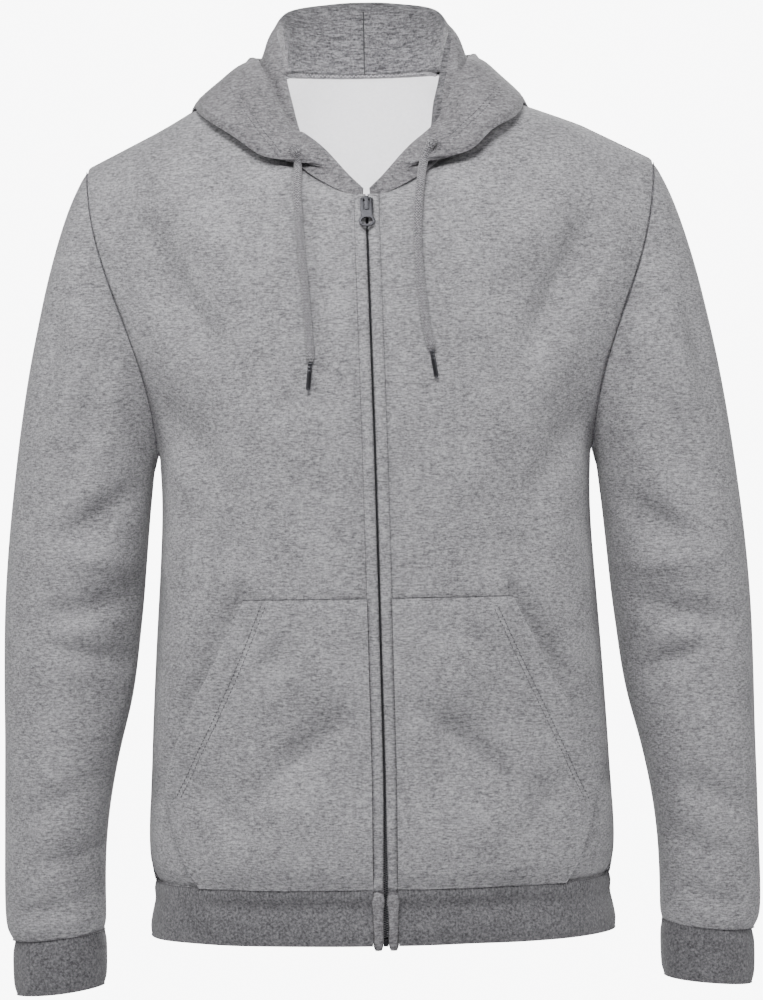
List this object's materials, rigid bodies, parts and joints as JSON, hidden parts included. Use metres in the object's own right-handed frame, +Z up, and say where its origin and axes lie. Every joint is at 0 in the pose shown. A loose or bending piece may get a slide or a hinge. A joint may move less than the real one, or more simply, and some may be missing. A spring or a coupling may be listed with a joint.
{
  "type": "zip up hoodie",
  "caption": "Grey melange zip up hoodie, filled out as if worn: hood down, drawstring ends, full-length zip, slanted front pockets, ribbed cuffs and hem band.",
  "frame": {"origin": "the middle of the neck, level with the shoulder necks, where the wearer's shoulders carry it", "axes": "+Z up, the front with its zip faces -Y, +X towards the wearer's left arm"},
  "size_m": [0.6038, 0.2842, 0.7941],
  "materials": {
    "shell": "brushed-back melange jersey",
    "lining": "melange jersey, face side",
    "rib": "knitted rib",
    "tape": "woven tape",
    "teeth": "moulded",
    "slider": "satin",
    "cord": "knitted round cord",
    "tip": "crimped tube"
  },
  "bodies": {
    "garment": {"aglet_left": "tip", "aglet_right": "tip", "back": "shell", "cuff_left": "rib", "cuff_right": "rib", "drawstring_left": "cord", "drawstring_right": "cord", "front_left": "shell", "front_right": "shell", "hem_rib": "rib", "hood_left": "shell", "hood_lining_left": "lining", "hood_lining_right": "lining", "hood_right": "shell", "pocket_left": "shell", "pocket_right": "shell", "sleeve_left": "shell", "sleeve_right": "shell", "welt_left": "shell", "welt_right": "shell", "zip_box": "slider", "zip_slider": "slider", "zip_tape_left": "tape", "zip_tape_right": "tape", "zip_teeth_left": "teeth", "zip_teeth_right": "teeth"},
    "tab": {"pull_tab": "slider"}
  },
  "joints": [
    {"name": "pull_tab_hinge", "type": "hinge", "parent": "garment", "child": "tab", "pos_m": [0, -0.10025, -0.11308], "axis": [-1, 0, 0], "range_deg": [0, 120]}
  ]
}
